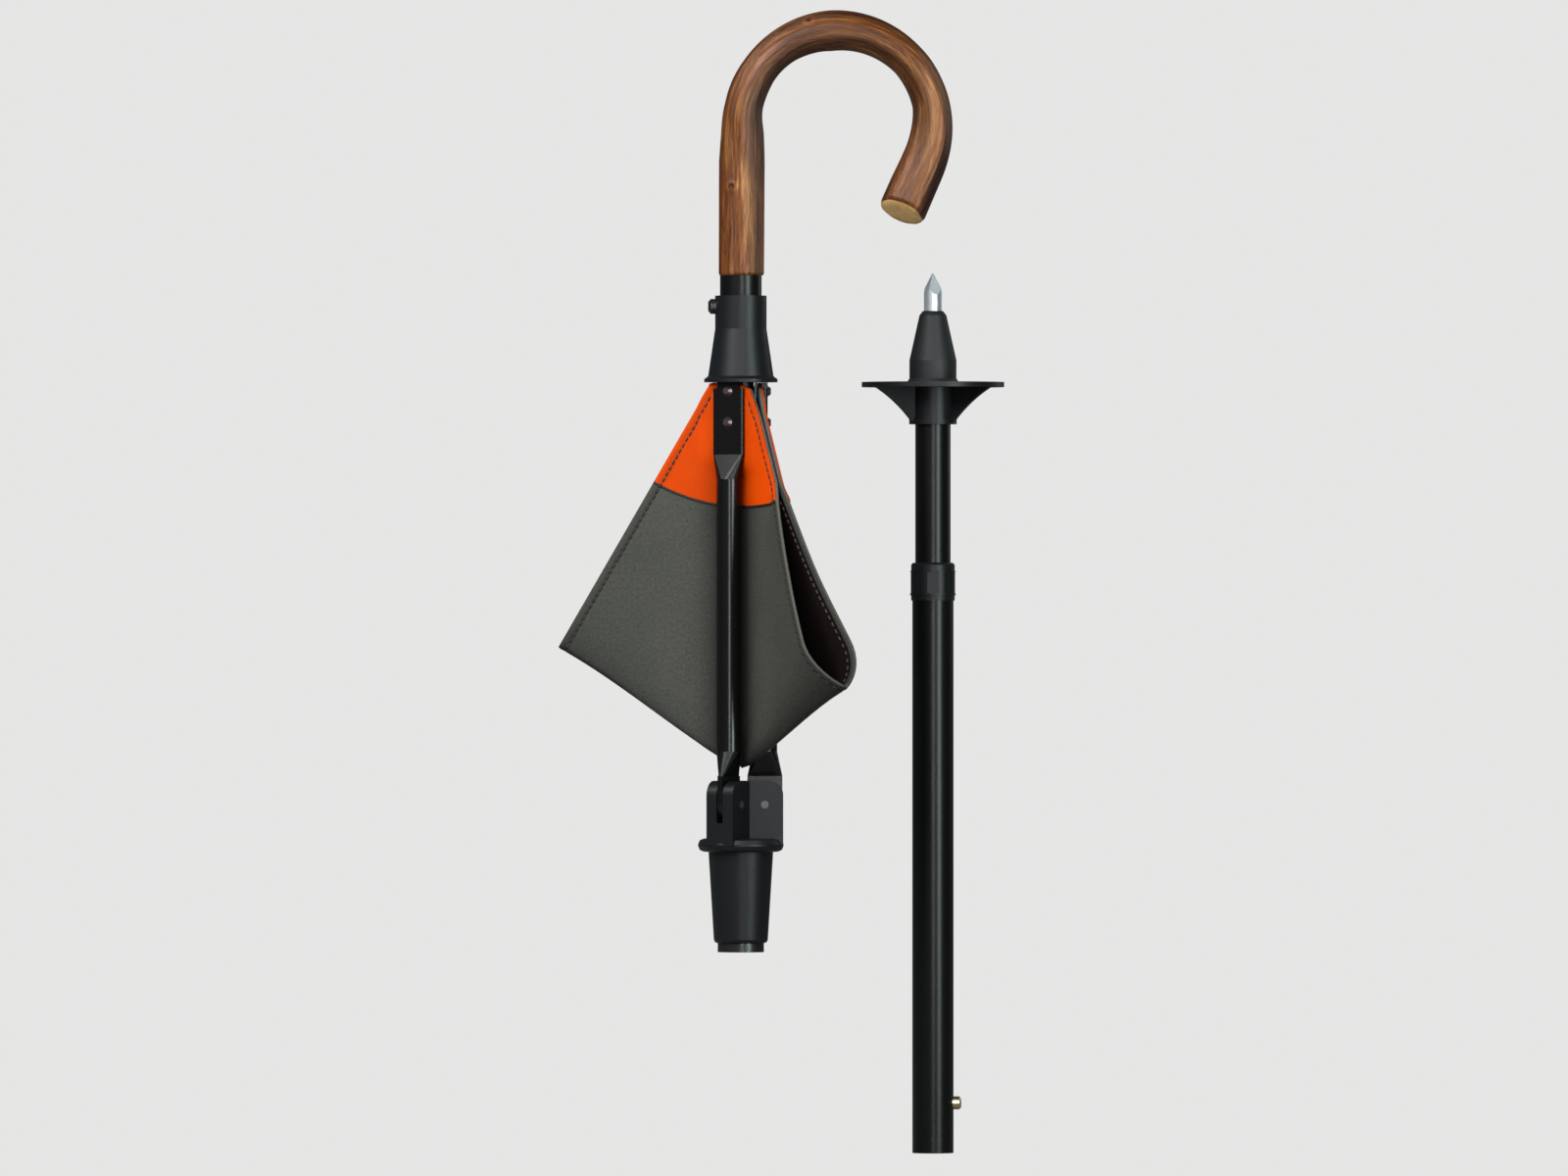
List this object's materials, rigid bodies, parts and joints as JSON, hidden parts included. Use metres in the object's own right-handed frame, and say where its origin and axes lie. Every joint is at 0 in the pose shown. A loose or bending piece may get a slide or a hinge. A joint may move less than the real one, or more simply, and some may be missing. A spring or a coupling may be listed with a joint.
{
  "type": "shooting stick",
  "caption": "Walking stick that turns into a seat: crook handle and folded leather seat on arms over a hub with a leg socket, and a telescopic leg with ground plate and spike.",
  "frame": {"origin": "centre of the leg socket's mouth, at the lower end of the hub's liner", "axes": "+Z along the socket's axis towards the crook, +X towards the leg half that stands beside it, -Y towards the camera of the picture"},
  "size_m": [0.2365, 0.2092, 0.6075],
  "materials": {
    "black_plastic": "semi-matt moulded",
    "black_tube": "black satin coat",
    "bright_steel": "ground",
    "dark_steel": "dark satin",
    "brass": "polished",
    "olive_leather": "waxed, dark inside",
    "orange_leather": "smooth, signal orange",
    "wood": "varnished chestnut, pale cut end",
    "black_rubber": "matt"
  },
  "bodies": {
    "root": {"socket_liner": "dark_steel", "socket_sleeve": "black_plastic", "hub": "black_plastic", "pivot_pins": "bright_steel", "seat_leather": "olive_leather", "corner_patch_front": "orange_leather", "corner_patch_right": "orange_leather", "corner_patch_left": "orange_leather", "leg_tube": "black_tube", "leg_end_plug": "black_plastic", "clamp_ring": "black_plastic", "leg_button_spring": "bright_steel"},
    "handle": {"handle_bell": "black_plastic", "handle_tube": "black_tube", "bell_core": "black_plastic", "handle_pin": "bright_steel", "knob_spring": "bright_steel", "crook": "wood"},
    "bell_button": {"handle_knob": "dark_steel"},
    "leg_button": {"leg_button": "brass"},
    "collar": {"clamp_collar": "black_plastic"},
    "leg_inner": {"inner_tube": "black_tube", "inner_tube_guide": "black_plastic", "ground_plate": "black_plastic", "ferrule": "black_rubber", "spike": "bright_steel"},
    "arm_right": {"arm_right": "black_tube", "rivets_right": "dark_steel", "backing_plate_right": "dark_steel"},
    "arm_left": {"arm_left": "black_tube", "rivets_left": "dark_steel", "backing_plate_left": "dark_steel"},
    "arm_front": {"arm_front": "black_tube", "rivets_front": "dark_steel", "backing_plate_front": "dark_steel"}
  },
  "joints": [
    {"name": "arm_front_pivot", "type": "hinge", "parent": "root", "child": "arm_front", "pos_m": [-0.00635, -0.011, 0.078], "axis": [0.866, -0.5, 0], "range_deg": [0, 52], "deforming": ["seat_leather", "corner_patch_front", "corner_patch_right", "corner_patch_left"]},
    {"name": "arm_right_pivot", "type": "hinge", "parent": "root", "child": "arm_right", "pos_m": [0.0127, 0, 0.078], "axis": [0, 1, 0], "range_deg": [0, 52]},
    {"name": "arm_left_pivot", "type": "hinge", "parent": "root", "child": "arm_left", "pos_m": [-0.00635, 0.011, 0.078], "axis": [-0.866, -0.5, 0], "range_deg": [0, 52]},
    {"name": "handle_lift", "type": "slide", "parent": "root", "child": "handle", "axis": [0, 0, 1], "range_m": [0, 0.12]},
    {"name": "bell_button_press", "type": "slide", "parent": "handle", "child": "bell_button", "axis": [1, 0, 0], "range_m": [0, 0.003], "stiffness_N_per_m": 800, "springref_m": -0.002, "deforming": ["knob_spring"]},
    {"name": "leg_button_press", "type": "slide", "parent": "root", "child": "leg_button", "axis": [-1, 0, 0], "range_m": [0, 0.004], "stiffness_N_per_m": 1000, "springref_m": -0.002, "deforming": ["leg_button_spring"]},
    {"name": "leg_extend", "type": "slide", "parent": "root", "child": "leg_inner", "axis": [0, 0, 1], "range_m": [-0.07, 0.1]},
    {"name": "collar_twist", "type": "hinge", "parent": "root", "child": "collar", "pos_m": [0.1022, 0.085, 0.1957], "axis": [0, 0, 1], "range_deg": [0, 90]}
  ],
  "couplings": [
    {"joint": "arm_right_pivot", "follows": "arm_front_pivot", "ratio": 1},
    {"joint": "arm_left_pivot", "follows": "arm_front_pivot", "ratio": 1}
  ]
}
